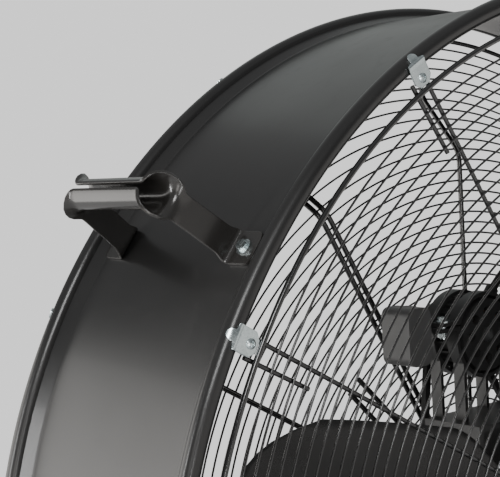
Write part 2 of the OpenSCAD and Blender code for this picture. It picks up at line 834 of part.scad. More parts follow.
module switch_knob() {
    grip_r = knob_r - 4;
    color("#0f0f0f") around(box_angle) translate([-18, 0, body_r + box_h + 2.5 + gap + fit]) {
        difference() {
            union() {
                cylinder(r = knob_r, h = 5);
                translate([0, 0, 4]) cylinder(r = grip_r, h = 12);
            }
            for (i = [0:11]) rotate(15 + i * 30) translate([grip_r + 1, 0, 6]) cylinder(r = 2.4, h = 20);
            translate([0, 0, -1]) cylinder(r = 4.5, h = 4);
        }
        translate([-1.2, 3, 15.5]) cube([2.4, 12, 1.7]);
        translate([0, 0, -10]) cylinder(r = 3, h = 14);
    }
}

module cable_gland() {
    color("#101010") around(box_angle) translate([30, box_d / 2, body_r + 28]) rotate([-90, 0, 0]) difference() {
        union() {
            translate([0, 0, -6]) cylinder(r = 8, h = 26);
            translate([0, 0, 0.05]) cylinder(r = 12, h = 7, $fn = 6);
            translate([0, 0, 10]) cylinder(r1 = 11, r2 = 8.5, h = 12);
        }
        translate([0, 0, -7]) cylinder(r = 4.5, h = 40);
    }
}

// ---------- Stand ----------

module saddle() {
    along_y(-leg_y - 2, leg_y + 2) rotate(90) ring_sector(body_r + fit, body_r + saddle_t, saddle_a[0], saddle_a[1]);
}

module leg_walls() {
    for (s = [-1, 1]) along_y(s * leg_y - leg_t / 2, s * leg_y + leg_t / 2) children();
}

module saddle_holes() {
    for (a = saddle_bolt_a, y = [-1, 1]) around(a) translate([0, y * saddle_bolt_y, body_r - 5])
        cylinder(r = 4.3, h = 20);
}

module foot_leg() {
    top = foot_h + bar_h;
    color("#202121") difference() {
        union() {
            on_axis() saddle();
            difference() {
                leg_walls() polygon([[-365, axis_h - 390], [-foot_x - 50, top], [-foot_x + 50, top],
                                     [-222, axis_h - 485]]);
                on_axis() rod(body_r + saddle_t - 1, -200, 200);
            }
            translate([-foot_x - 50, -leg_y, top + 0.05]) cube([100, 2 * leg_y, 4]);
        }
        saddle_holes();
        for (s = [-1, 1]) translate([-foot_x, s * 60, top - 1]) cylinder(r = 4.3, h = 10);
    }
}

module foot_bar() {
    wall = 2.5;
    color("#202121") difference() {
        translate([-foot_x - bar_w / 2, -bar_half, foot_h]) cube([bar_w, 2 * bar_half, bar_h]);
        translate([-foot_x - bar_w / 2 + wall, -bar_half - 1, foot_h + wall])
            cube([bar_w - 2 * wall, 2 * bar_half + 2, bar_h - 2 * wall]);
        for (s = [-1, 1]) translate([-foot_x, s * 60, foot_h - 1]) cylinder(r = 4.3, h = bar_h + 2);
        for (s = [-1, 1]) translate([-foot_x, s * 160, foot_h - 1]) cylinder(r = 4.1, h = 8);
    }
}

module foot_bar_caps() {
    color("#101010") for (s = [0, 1]) mirror([0, s, 0]) translate([-foot_x, bar_half, foot_h + bar_h / 2]) {
        translate([-bar_w / 2, 0.05, -bar_h / 2]) cube([bar_w, 5.9, bar_h]);
        translate([-bar_w / 2 + 3, -12, -bar_h / 2 + 3]) cube([bar_w - 6, 12.2, bar_h - 6]);
    }
}

module rubber_feet() {
    color("#141414") for (s = [-1, 1]) translate([-foot_x, s * 160, 0]) {
        cylinder(r1 = 18, r2 = 21, h = 6);
        translate([0, 0, 6]) cylinder(r = 21, h = foot_h - 6 - 0.05);
        cylinder(r = 4, h = foot_h + 5);
    }
}

module foot_bolts() {
    top = foot_h + bar_h + 4 + 0.1;
    color("#c9d3d8") for (s = [-1, 1]) translate([-foot_x, s * 60, 0]) {
        translate([0, 0, top]) hex_flange_bolt(4, 9, bar_h + 12);
        translate([0, 0, foot_h - 7.1]) hex_nut(4, 7);
    }
}

module axle_leg() {
    color("#202121") mirror([1, 0, 0]) difference() {
        union() {
            on_axis() saddle();
            difference() {
                leg_walls() union() {
                    polygon([[-365, axis_h - 390], [-axle_x - 24, wheel_r], [-axle_x, wheel_r - 24],
                             [-axle_x + 20, wheel_r - 20], [-222, axis_h - 485]]);
                    translate([-axle_x, wheel_r]) circle(24);
                }
                on_axis() rod(body_r + saddle_t - 1, -200, 200);
            }
        }
        saddle_holes();
        translate([-axle_x, 0, wheel_r]) rod(axle_r + fit, -200, 200);
    }
}

module leg_bolts() {
    color("#c9d3d8") for (m = [-1, 1], a = saddle_bolt_a, y = [-1, 1])
        around(m * a) translate([0, y * saddle_bolt_y, 0]) {
            translate([0, 0, body_r + saddle_t + fit]) hex_flange_bolt(4, 9, 15);
            translate([0, 0, inner_r - 7.4]) hex_nut(4, 7);
        }
}

module at_axle() { translate([axle_x, 0, wheel_r]) children(); }

module axle() { color("#b5b8ba") at_axle() rod(axle_r, -axle_half + 4, axle_half - 4); }

module axle_spacers() {
    color("#2b2c2c") at_axle() for (s = [0, 1]) mirror([0, s, 0])
        tube(12, axle_r + fit, leg_y + leg_t / 2 + 0.1, wheel_y - wheel_w / 2 - gap);
}

module axle_caps() {
    color("#b9bdbf") at_axle() for (s = [0, 1]) mirror([0, s, 0]) difference() {
        rod(14, wheel_y + wheel_w / 2 + gap, axle_half);
        rod(axle_r + 0.02, 0, axle_half - 3.9);
    }
}

module wheel_rim() {
    color("#8a8d8f") difference() {
        revolve() {
            translate([axle_r + 0.04, -wheel_w / 2]) square([14, wheel_w]);
            translate([axle_r + 10, -3]) square([wheel_r - axle_r - 37, 6]);
            translate([wheel_r - 28, -wheel_w / 2 + 3]) square([6, wheel_w - 6]);
        }
        for (i = [0:5]) rotate([0, i * 60, 0]) translate([0, 0, (wheel_r - 6) / 2]) rod(9, -30, 30);
    }
}

module wheel_tyre() {
    inner = wheel_r - 22 + 0.02;
    color("#141414") revolve() difference() {
        union() {
            translate([inner, -wheel_w / 2]) square([wheel_r - inner - 8, wheel_w]);
            translate([inner, -wheel_w / 2 + 8]) square([wheel_r - inner, wheel_w - 16]);
            for (s = [-1, 1]) translate([wheel_r - 8, s * (wheel_w / 2 - 8)]) circle(8, $fn = 48);
        }
        for (s = [-1, 0, 1]) translate([wheel_r - 1.5, s * 8 - 1]) square([3, 2]);
    }
}

module at_wheel(s) { at_axle() translate([0, s * wheel_y, 0]) children(); }

module front_wheel_rim() { at_wheel(-1) wheel_rim(); }
module front_wheel_tyre() { at_wheel(-1) wheel_tyre(); }
module rear_wheel_rim() { at_wheel(1) wheel_rim(); }
module rear_wheel_tyre() { at_wheel(1) wheel_tyre(); }

drum_shell();
front_guard_frame();
front_guard_rings();
front_centre_disc();
rear_guard_frame();
rear_guard_rings();
front_clips();
rear_clips();
front_clip_screws();
rear_clip_screws();
front_clip_nuts();
rear_clip_nuts();
handle_left();
handle_right();
handle_bolts();
handle_nuts();
cross_frame();
cross_frame_bolts();
bearing_housings();
bearings();
bearing_bolts();
fan_shaft();
fan_spider();
fan_blades();
blade_rivets();
driven_pulley();
drive_belt();
motor_housing();
motor_front_bell();
motor_rear_bell();
motor_stator();
motor_rotor();
motor_shaft();
motor_pulley();
motor_cradle();
motor_band();
motor_clamp_bolts();
capacitor_box();
motor_lead_gland();
motor_lead();
lead_grommet();
switch_box();
switch_cover();
rotary_switch();
switch_knob();
cable_gland();
foot_leg();
foot_bar();
foot_bar_caps();
rubber_feet();
foot_bolts();
axle_leg();
leg_bolts();
axle();
axle_spacers();
axle_caps();
front_wheel_rim();
front_wheel_tyre();
rear_wheel_rim();
rear_wheel_tyre();
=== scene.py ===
# Looks of a belt-driven drum fan on a wheeled stand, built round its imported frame.
# Metres, Z up. The fan axis runs along Y and the air leaves towards -Y.
import json
import math

import bpy
from mathutils import Matrix, Vector


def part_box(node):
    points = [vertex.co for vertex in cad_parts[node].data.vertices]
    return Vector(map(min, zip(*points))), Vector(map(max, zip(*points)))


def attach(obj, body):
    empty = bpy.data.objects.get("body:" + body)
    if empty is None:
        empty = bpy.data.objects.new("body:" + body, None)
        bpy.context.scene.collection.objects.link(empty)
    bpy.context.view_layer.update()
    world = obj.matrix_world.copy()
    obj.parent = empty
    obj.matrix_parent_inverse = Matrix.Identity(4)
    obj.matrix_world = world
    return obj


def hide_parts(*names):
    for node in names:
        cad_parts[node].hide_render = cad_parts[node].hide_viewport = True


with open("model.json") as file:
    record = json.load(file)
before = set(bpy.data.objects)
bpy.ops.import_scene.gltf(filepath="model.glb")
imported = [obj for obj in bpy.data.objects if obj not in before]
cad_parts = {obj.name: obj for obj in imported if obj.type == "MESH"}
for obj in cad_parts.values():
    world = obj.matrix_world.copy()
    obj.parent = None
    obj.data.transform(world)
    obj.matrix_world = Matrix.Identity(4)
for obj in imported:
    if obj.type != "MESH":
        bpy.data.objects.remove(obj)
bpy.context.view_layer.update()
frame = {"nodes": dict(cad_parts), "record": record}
NODES = frame["nodes"]

# ---------- Sizes, from the frame where it has them ----------

drum_low, drum_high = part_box("drum_shell")
AXIS = (drum_low.z + drum_high.z) / 2
RIM = (drum_high.x - drum_low.x) / 2
HALF_W = drum_high.y
BEAD = 0.008
BEAD_AT = RIM - BEAD
BODY = BEAD_AT - 0.006
SHEET = 0.0015
CREASE_Y = HALF_W - 0.027
FIT = 0.00005

CLIPS = 12
PLATE = 0.0015
CLIP_W = 0.021
CLIP_IN = RIM - 0.029
TONGUE = 0.0048

GUARD_RING = 0.943 * RIM
GUARD_WIRE = 0.005
SPOKE_WIRE = 0.004
ROD_WIRE = 0.0056
RING_WIRE = 0.0022
RING_PITCH = 0.0114
HUB_RING = 0.074
SPOKE_Y = HALF_W - SPOKE_WIRE / 2 - 0.0008
ROD_Y = HALF_W - ROD_WIRE / 2
SPOKE_END = RIM - 0.019
ROD_END = RIM - 0.027
DOME = 0.020
DOME_R = (SPOKE_END ** 2 + DOME ** 2) / (2 * DOME)
FRONT_RINGS = 38
REAR_STEP = 0.052
REAR_FLAT = 0.715 * RIM
REAR_BEND = 0.83 * RIM
REAR_RING_IN = 0.062
REAR_RINGS = 41
REAR_INNER_RING = REAR_RING_IN - 0.012
ROD_BEND = 0.012
ROD_START = 0.030
DOUBLE_START = 0.044
DOUBLE_GAP = 0.009
INNER_PAIR_GAP = 0.018
INNER_PAIR_END = 0.43 * RIM
WELD = 0.0005
RING_CLEAR = 0.00003

HANDLE_ANGLE = 52
GRIP_H = 0.078
GRIP_R = 0.013
HANDLE_T = 0.0025
LEG_TOP = 0.0635
FOOT_BEND = 0.0740
FOOT_OUT = 0.103
FOOT_CORNER = 0.007
ROLLED_HALF = 0.0348
LEG_HALF = 0.0125

BLADE_R = 0.455
TIP_DROP = 0.090
BLADE_ROOT = 0.104
BLADE_HALF = 0.112
BLADE_PITCH = 18
BLADE_START = 79
BLADE_Y = -0.072
BLADE_T = 0.002
BLADE_WIDEST = 0.190


# ---------- Camera ----------

def aim_camera():
    """The camera stands in front and to the left, turned a little about its own line of sight."""
    turn, down, roll = 0.6738, 0.0632, -0.0537
    ahead = Vector((math.sin(turn) * math.cos(down), math.cos(turn) * math.cos(down), -math.sin(down)))
    right = Vector((math.cos(turn), -math.sin(turn), 0))
    up = right.cross(ahead)
    right, up = (math.cos(roll) * right + math.sin(roll) * up, math.cos(roll) * up - math.sin(roll) * right)
    data = bpy.data.cameras.new("camera")
    data.sensor_width = 36
    data.lens = 96.1
    data.clip_start = 0.05
    camera = bpy.data.objects.new("camera", data)
    bpy.context.scene.collection.objects.link(camera)
    basis = Matrix((right, up, -ahead)).transposed().to_4x4()
    camera.matrix_world = Matrix.Translation((-1.0816, -0.9091, 1.0356)) @ basis
    bpy.context.scene.camera = camera


aim_camera()


# ---------- Finishes ----------

class Value:
    """A socket of a material, so that its maths reads as Python."""

    def __init__(self, finish, socket):
        self.finish, self.socket = finish, socket

    def maths(self, operation, *values):
        return self.finish.node("ShaderNodeMath", {"operation": operation, "use_clamp": False},
                                dict(enumerate(values)))

    def __add__(self, other): return self.maths("ADD", self, other)
    def __radd__(self, other): return self.maths("ADD", other, self)
    def __mul__(self, other): return self.maths("MULTIPLY", self, other)
    def __rmul__(self, other): return self.maths("MULTIPLY", other, self)


class Finish:
    """A material with one surface shader, and the nodes that feed it."""

    def __init__(self, name, **constants):
        self.material = bpy.data.materials.new(name)
        self.material.use_nodes = True
        self.tree = self.material.node_tree
        self.surface = self.tree.nodes["Principled BSDF"]
        for socket, value in constants.items():
            self.surface.inputs[socket.replace("_", " ")].default_value = value
        self.place = Value(self, self.tree.nodes.new("ShaderNodeTexCoord").outputs["Object"])

    def node(self, kind, settings=None, sockets=None, output=0):
        made = self.tree.nodes.new(kind)
        for setting, value in (settings or {}).items():
            if setting == "stops":
                ramp = made.color_ramp.elements
                while len(ramp) < len(value):
                    ramp.new(0.5)
                for element, (position, colour) in zip(ramp, value):
                    element.position, element.color = position, colour
            else:
                setattr(made, setting, value)
        for socket, value in (sockets or {}).items():
            if isinstance(value, Value):
                self.tree.links.new(value.socket, made.inputs[socket])
            else:
                made.inputs[socket].default_value = value
        return Value(self, made.outputs[output])

    def noise(self, scale, detail=2, rough=0.5):
        return self.node("ShaderNodeTexNoise", None,
                         {"Vector": self.place, "Scale": scale, "Detail": detail, "Roughness": rough})

    def cells(self, scale):
        return self.node("ShaderNodeTexVoronoi", None, {"Vector": self.place, "Scale": scale}, "Color")

    def stretched(self, x, y, z):
        """The object's own coordinates, scaled by a different amount on each axis."""
        return self.node("ShaderNodeMapping", None, {"Vector": self.place, "Scale": (x, y, z)})

    def between(self, amount, first, second):
        return self.node("ShaderNodeMix", {"data_type": "RGBA"}, {0: amount, 6: first, 7: second}, 2)

    def range(self, value, low, high, to_low, to_high):
        return self.node("ShaderNodeMapRange", None,
                         {0: value, 1: low, 2: high, 3: to_low, 4: to_high})

    def set(self, socket, value):
        self.tree.links.new(value.socket, self.surface.inputs[socket])

    def bump(self, height, strength, distance):
        self.set("Normal", self.node("ShaderNodeBump", None,
                                     {"Strength": strength, "Distance": distance, "Height": height}))


def grey(level, warm=0.0):
    return (level * (1 + warm), level, level * (1 - warm), 1)


def powder_coat(name, dark, light, rough, peel, coat=0.0):
    """Baked paint: faint cloudiness, a fine orange peel, and a little dust that dulls the gloss."""
    finish = Finish(name, Coat_Roughness=0.12, Specular_IOR_Level=0.55)
    cloud = finish.noise(7, 3)
    grain = finish.noise(1500, 1)
    dust = finish.range(finish.noise(60, 5, 0.7), 0.55, 0.8, 0, 1)
    finish.set("Base Color", finish.between(cloud * 0.7 + dust * 0.3, dark, light))
    finish.set("Roughness", finish.range(cloud, 0.3, 0.7, rough - 0.03, rough + 0.04) + dust * 0.06)
    if coat:
        finish.set("Coat Weight", finish.range(cloud, 0.3, 0.7, coat, coat * 0.8))
    finish.bump(finish.noise(420, 2) * 0.8 + grain * 0.2, peel, 0.0004)
    return finish.material


def plated(name, dull, bright, rough, scale):
    """Zinc plating: small crystals that differ a little in colour and gloss, and fine handling marks."""
    finish = Finish(name, Metallic=1.0)
    crystal = finish.cells(scale)
    cloud = finish.noise(90, 4, 0.6)
    finish.set("Base Color", finish.between(crystal * 0.35 + cloud * 0.65, dull, bright))
    finish.set("Roughness", finish.range(cloud + crystal * 0.3, 0.3, 0.9, rough - 0.08, rough + 0.12))
    finish.bump(finish.noise(700, 3), 0.12, 0.0003)
    return finish.material


def turned_steel(name, colour, along):
    """Bright steel with the fine rings or lines that its tool left, drawn along one axis."""
    finish = Finish(name, Metallic=1.0)
    lines = finish.node("ShaderNodeTexNoise", None,
                        {"Vector": finish.stretched(*along), "Scale": 900, "Detail": 3})
    stain = finish.noise(40, 4, 0.6)
    finish.set("Base Color", finish.between(stain, colour, tuple(0.7 * c for c in colour[:3]) + (1,)))
    finish.set("Roughness", finish.range(lines * 0.5 + stain * 0.5, 0.3, 0.7, 0.2, 0.42))
    finish.bump(lines, 0.15, 0.0002)
    return finish.material


def cast_iron(name, dark, light):
    """Painted casting: a coarse sand texture under the coat."""
    finish = Finish(name, Specular_IOR_Level=0.45)
    lump = finish.noise(260, 4, 0.6)
    finish.set("Base Color", finish.between(finish.noise(25, 3), dark, light))
    finish.set("Roughness", finish.range(lump, 0.3, 0.7, 0.42, 0.62))
    finish.bump(lump, 0.35, 0.0006)
    return finish.material


def rubber(name, dark, dusty, tread=0):
    finish = Finish(name, Specular_IOR_Level=0.3)
    scuff = finish.range(finish.noise(45, 6, 0.7), 0.45, 0.75, 0, 1)
    finish.set("Base Color", finish.between(scuff, dark, dusty))
    finish.set("Roughness", finish.range(scuff, 0, 1, 0.62, 0.85))
    finish.bump(finish.noise(900, 3, 0.6), 0.25 + tread, 0.0004)
    return finish.material


def moulded_plastic(name, dark, light, rough):
    """Moulded plastic with a fine spark-eroded texture."""
    finish = Finish(name, Specular_IOR_Level=0.5)
    spark = finish.cells(1600)
    cloud = finish.noise(30, 3)
    finish.set("Base Color", finish.between(cloud, dark, light))
    finish.set("Roughness", finish.range(cloud, 0.3, 0.7, rough - 0.05, rough + 0.06))
    finish.bump(spark * 0.5 + finish.noise(800, 2) * 0.5, 0.16, 0.0003)
    return finish.material


def enamelled_wire(name):
    """Copper windings: packed strands that run round the stator, with painted shade that darkens the copper
    in the grooves between strands.
    """
    finish = Finish(name, Metallic=0.85)
    strands_and_groove_shade = finish.node("ShaderNodeTexWave", {"wave_type": "RINGS", "rings_direction": "Y"},
                          {"Vector": finish.place, "Scale": 160, "Distortion": 1.5})
    # Painted shade: the base colour is dark copper where the strand relief is low, in the grooves between
    # strands, and bright copper on the strand tops.
    finish.set("Base Color", finish.between(strands_and_groove_shade, (0.32, 0.12, 0.045, 1), (0.72, 0.33, 0.14, 1)))
    finish.set("Roughness", finish.range(strands_and_groove_shade, 0, 1, 0.5, 0.28))
    finish.bump(strands_and_groove_shade, 0.6, 0.0006)
    return finish.material


FINISHES = {
    "drum_paint": powder_coat("drum_powder_coat", grey(0.010), grey(0.017, 0.03), 0.31, 0.08, 0.10),
    "guard_wire": powder_coat("guard_wire_coat", grey(0.008), grey(0.013), 0.17, 0.05, 0.8),
    "disc_paint": powder_coat("centre_disc_coat", grey(0.012), grey(0.018), 0.28, 0.10),
    "zinc": plated("bright_zinc", (0.36, 0.42, 0.43, 1), (0.84, 0.92, 0.93, 1), 0.20, 520),
    "handle_paint": powder_coat("handle_gloss_coat", grey(0.014, 0.05), grey(0.022, 0.08), 0.20, 0.06, 0.4),
    "frame_paint": powder_coat("stand_powder_coat", grey(0.014), grey(0.022), 0.36, 0.16),
    "steel": turned_steel("turned_steel", (0.60, 0.61, 0.62, 1), (1, 40, 1)),
    "blade_paint": powder_coat("blade_coat", grey(0.008), grey(0.014), 0.27, 0.12),
    "pulley_iron": cast_iron("pulley_iron", grey(0.020), grey(0.045)),
    "belt_rubber": rubber("belt_rubber", grey(0.010), grey(0.035)),
    "motor_paint": cast_iron("motor_paint", grey(0.010), grey(0.018)),
    "winding": enamelled_wire("copper_winding"),
    "grey_plastic": moulded_plastic("grey_plastic", grey(0.045), grey(0.065), 0.42),
    "black_plastic": moulded_plastic("black_plastic", grey(0.012), grey(0.020), 0.40),
    "black_rubber": rubber("black_rubber", grey(0.010), grey(0.030)),
    "tyre_rubber": rubber("tyre_rubber", grey(0.013), grey(0.045), 0.1),
    "box_paint": powder_coat("switch_box_coat", grey(0.012), grey(0.019), 0.34, 0.16),
}

for part in frame["record"]["subparts"]:
    mesh = NODES[part["node"]].data
    mesh.materials.clear()
    mesh.materials.append(FINISHES[part["material_slot"]])


# ---------- Making and placing pieces ----------

def on_axis():
    return Matrix.Translation((0, 0, AXIS))


def around(angle):
    """Local Z points out from the fan axis, at this angle in degrees from the top towards -X."""
    return on_axis() @ Matrix.Rotation(math.radians(-angle), 4, "Y")


def only(obj):
    bpy.ops.object.select_all(action="DESELECT")
    obj.select_set(True)
    bpy.context.view_layer.objects.active = obj


def settled(matrix=Matrix.Identity(4)):
    """The piece just added, with its place moved into its mesh."""
    obj = bpy.context.object
    obj.data.transform(matrix @ obj.matrix_world)
    obj.matrix_world = Matrix.Identity(4)
    return obj


def copies(obj, matrices):
    """One copy of a piece for each matrix, with its own mesh. The first piece goes."""
    made = []
    for matrix in matrices:
        twin = obj.copy()
        twin.data = obj.data.copy()
        twin.data.transform(matrix)
        bpy.context.scene.collection.objects.link(twin)
        made.append(twin)
    bpy.data.objects.remove(obj)
    return made


def joined(name, pieces):
    bpy.ops.object.select_all(action="DESELECT")
    for piece in pieces:
        piece.select_set(True)
    bpy.context.view_layer.objects.active = pieces[0]
    bpy.ops.object.join()
    pieces[0].name = pieces[0].data.name = name
    return pieces[0]


def apply(obj, kind, **settings):
    only(obj)
    modifier = obj.modifiers.new(kind.lower(), kind)
    for setting, value in settings.items():
        setattr(modifier, setting, value)
    bpy.ops.object.modifier_apply(modifier=modifier.name)


def outward(obj):
    only(obj)
    bpy.ops.object.mode_set(mode="EDIT")
    bpy.ops.mesh.select_all(action="SELECT")
    bpy.ops.mesh.remove_doubles(threshold=0.000002)
    bpy.ops.mesh.normals_make_consistent(inside=False)
    bpy.ops.object.mode_set(mode="OBJECT")


def finished(obj, slot, body, *nodes, sharp=35):
    """Shades the piece, gives it its finish and its body, and hides the frame's nodes that it stands for."""
    only(obj)
    bpy.ops.object.shade_smooth_by_angle(angle=math.radians(sharp))
    obj.data.materials.clear()
    obj.data.materials.append(FINISHES[slot])
    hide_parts(*nodes)
    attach(obj, body)
    return obj


def turned(name, outline, steps=288, matrix=None):
    """A closed outline of (radius, y), drawn edge by edge and spun about the Y axis."""
    bpy.ops.object.select_all(action="DESELECT")
    bpy.ops.mesh.primitive_plane_add(size=0.01)
    bpy.ops.object.mode_set(mode="EDIT")
    bpy.ops.mesh.merge(type="CENTER")
    bpy.ops.transform.translate(value=(outline[0][0], outline[0][1], 0))
    for (r0, y0), (r1, y1) in zip(outline, outline[1:]):
        bpy.ops.mesh.extrude_region_move(TRANSFORM_OT_translate={"value": (r1 - r0, y1 - y0, 0)})
    bpy.ops.mesh.select_all(action="SELECT")
    if abs(outline[0][0]) > 1e-9:
        bpy.ops.mesh.edge_face_add()
        bpy.ops.mesh.delete(type="ONLY_FACE")
        bpy.ops.mesh.select_all(action="SELECT")
    bpy.ops.mesh.spin(steps=steps, angle=2 * math.pi, center=(0, 0, 0), axis=(0, 1, 0))
    bpy.ops.object.mode_set(mode="OBJECT")
    piece = settled(matrix or on_axis())
    outward(piece)
    piece.name = piece.data.name = name
    return piece


def arc(centre, radius, start, end, steps):
    """Points (x, y) on an arc, with angles in degrees."""
    turns = [math.radians(start + (end - start) * i / steps) for i in range(steps + 1)]
    return [(centre[0] + radius * math.cos(t), centre[1] + radius * math.sin(t)) for t in turns]


def wire_ring(radius, y, wire, segments=216, sides=8):
    bpy.ops.mesh.primitive_torus_add(major_radius=radius, minor_radius=wire / 2,
                                     major_segments=segments, minor_segments=sides,
                                     rotation=(math.pi / 2, 0, 0), location=(0, y, AXIS))
    return settled()


def bent_wire(path, wire, sides=3):
    """A round wire along a list of points, with closed ends."""
    curve = bpy.data.curves.new("wire", "CURVE")
    curve.dimensions = "3D"
    curve.bevel_depth = wire / 2
    curve.bevel_resolution = sides
    curve.use_fill_caps = True
    spline = curve.splines.new("POLY")
    spline.points.add(len(path) - 1)
    for point, place in zip(spline.points, path):
        point.co = (*place, 1)
    obj = bpy.data.objects.new("wire", curve)
    bpy.context.scene.collection.objects.link(obj)
    only(obj)
    bpy.ops.object.convert(target="MESH")
    wire_piece = bpy.context.object
    outward(wire_piece)
    return wire_piece


def shaped_sheet(name, columns, rows, place, thickness, edge=0.0004):
    """A grid whose points go where place(u, v) says, with u and v from -1 to 1, then given its thickness."""
    bpy.ops.mesh.primitive_grid_add(x_subdivisions=columns, y_subdivisions=rows, size=2)
    sheet = bpy.context.object
    for vertex in sheet.data.vertices:
        vertex.co = place(vertex.co.x, vertex.co.y)
    sheet.name = sheet.data.name = name
    apply(sheet, "SOLIDIFY", thickness=thickness, offset=0)
    if edge:
        apply(sheet, "BEVEL", width=edge, segments=2, limit_method="ANGLE", angle_limit=math.radians(50))
    outward(sheet)
    return sheet


def eased(points, reach, steps=8):
    """The line through the points, with each corner rounded off from this far on both sides."""
    points = [Vector(point) for point in points]
    line = [points[0]]
    for before, corner, after in zip(points, points[1:], points[2:]):
        start = corner + (before - corner).normalized() * reach
        end = corner + (after - corner).normalized() * reach
        for i in range(steps + 1):
            t = i / steps
            line.append(start * (1 - t) ** 2 + corner * 2 * t * (1 - t) + end * t ** 2)
    return line + [points[-1]]


class Line:
    """A line in a plane, which gives its place and its direction at any distance along it."""

    def __init__(self, points):
        self.points = [Vector(point) for point in points]
        self.far = [0]
        for a, b in zip(self.points, self.points[1:]):
            self.far.append(self.far[-1] + (b - a).length)
        self.length = self.far[-1]

    def at(self, distance):
        i = 0
        while i < len(self.points) - 2 and self.far[i + 1] < distance:
            i += 1
        run = self.points[i + 1] - self.points[i]
        return self.points[i] + run * ((distance - self.far[i]) / run.length), run.normalized()


def ramp(value, start, end):
    """0 before start, 1 after end, and a smooth rise between them."""
    t = min(max((value - start) / (end - start), 0), 1)
    return t * t * (3 - 2 * t)


# ---------- Drum ----------

def make_drum():
    """The drum sheet with a crease near each rim, a short step up, and the edge rolled into a bead."""
    front = [(BODY, -CREASE_Y + 0.0030), (BODY + 0.0001, -CREASE_Y + 0.0012),
             (BODY + 0.0008, -CREASE_Y - 0.0004), (BODY + 0.0052, -CREASE_Y - 0.0095),
             (BODY + 0.0060, -CREASE_Y - 0.0112)]
    bead = arc((BEAD_AT, -HALF_W + BEAD), BEAD, 68, -215, 40)
    lip = [(BEAD_AT - BEAD + 0.0042, -HALF_W + BEAD + 0.0044),
           (BODY - SHEET, -HALF_W + 2 * BEAD - 0.0018)]
    inner = [(BODY - SHEET, -CREASE_Y + 0.003)]
    half = front + bead + lip + inner
    other = [(r, -y) for r, y in reversed(half)]
    drum = turned("drum", half + other, 288)
    return finished(drum, "drum_paint", "root", "drum_shell", sharp=50)


make_drum()


# ---------- Guards ----------

def front_y(r):
    return -SPOKE_Y - (math.sqrt(DOME_R ** 2 - r ** 2) - (DOME_R - DOME))


def rear_y(r):
    if r > REAR_BEND:
        return ROD_Y
    if r < REAR_FLAT:
        return ROD_Y - REAR_STEP
    return ROD_Y - REAR_STEP * (REAR_BEND - r) / (REAR_BEND - REAR_FLAT)


def front_radii():
    return [HUB_RING + 0.004 + i * RING_PITCH for i in range(1, FRONT_RINGS + 1)]


def rear_radii():
    return [REAR_RING_IN + i * RING_PITCH for i in range(REAR_RINGS)]


def make_front_guard():
    lift = (SPOKE_WIRE + RING_WIRE) / 2 + RING_CLEAR
    rings = joined("front_guard_fine_rings",
                   [wire_ring(r, front_y(r) - lift, RING_WIRE, sides=6) for r in front_radii()])
    finished(rings, "guard_wire", "root", "front_guard_rings", sharp=80)

    def spoke(r0, r1):
        steps = 14
        radii = [r0 + (r1 - r0) * i / steps for i in range(steps + 1)]
        return bent_wire([(0, front_y(r), r) for r in radii], SPOKE_WIRE)

    outer_y = front_y(GUARD_RING) - (SPOKE_WIRE + GUARD_WIRE) / 2 + WELD
    pieces = [wire_ring(GUARD_RING, outer_y, GUARD_WIRE, 240, 12),
              wire_ring(HUB_RING, front_y(HUB_RING) - SPOKE_WIRE + WELD, SPOKE_WIRE, 96, 10)]
    turns = [i * 360 / CLIPS for i in range(CLIPS)]
    pieces += copies(spoke(HUB_RING - 0.006, SPOKE_END), [around(t - 0.6) for t in turns])
    pieces += copies(spoke(0.84 * RIM, SPOKE_END - 0.004), [around(t + 1.2) for t in turns])
    bpy.ops.mesh.primitive_ico_sphere_add(subdivisions=1, radius=0.0017)
    bpy.ops.transform.resize(value=(1.0, 0.55, 0.9))
    dot = settled()
    pieces += copies(dot, [around(t - 0.6) @ Matrix.Translation((0, front_y(r) - SPOKE_WIRE / 2, r))
                           for r in front_radii() for t in turns])
    guard = joined("front_guard_spokes", pieces)
    finished(guard, "guard_wire", "root", "front_guard_frame", sharp=60)


def make_rear_guard():
    lift = (ROD_WIRE + RING_WIRE) / 2 + RING_CLEAR
    slope = math.atan(REAR_STEP / (REAR_BEND - REAR_FLAT))
    rings = []
    for r in rear_radii():
        on_slope = REAR_FLAT - 0.002 < r < REAR_BEND + 0.001
        raised = lift / math.cos(slope) if on_slope else lift
        rings.append(wire_ring(r, rear_y(r) + raised, RING_WIRE, sides=6))
    finished(joined("rear_guard_fine_rings", rings), "guard_wire", "root", "rear_guard_rings", sharp=80)

    middle = ROD_Y - REAR_STEP

    def stepped(x, r0):
        corners = [(x, middle, r0), (x, middle, REAR_FLAT), (x, ROD_Y, REAR_BEND), (x, ROD_Y, ROD_END)]
        return bent_wire(eased(corners, ROD_BEND), ROD_WIRE)

    outer_y = ROD_Y + (ROD_WIRE + GUARD_WIRE) / 2 - WELD
    pieces = [wire_ring(GUARD_RING, outer_y, GUARD_WIRE, 240, 12),
              wire_ring(REAR_INNER_RING, middle + ROD_WIRE - WELD, ROD_WIRE, 96, 10)]
    half = CLIPS // 2
    pieces += copies(stepped(0, ROD_START), [around(i * 360 / half) for i in range(half)])
    for side in (-1, 1):
        pieces += copies(stepped(side * DOUBLE_GAP / 2, DOUBLE_START),
                         [around(30 + i * 360 / half) for i in range(half)])
        x = side * INNER_PAIR_GAP / 2
        short = bent_wire([(x, middle, DOUBLE_START), (x, middle, INNER_PAIR_END)], ROD_WIRE)
        pieces += copies(short, [around(45 + i * 90) for i in range(4)])
    plate = [(0, middle - 0.0028), (0.0335, middle - 0.0028), (0.034, middle - 0.0023),
             (0.034, middle + 0.0023), (0.0335, middle + 0.0028), (0.024, middle + 0.0028),
             (0.021, middle + 0.0016), (0, middle + 0.0016)]
    pieces.append(turned("middle_plate", plate, 96))
    finished(joined("rear_guard_rods", pieces), "guard_wire", "root", "rear_guard_frame", sharp=60)


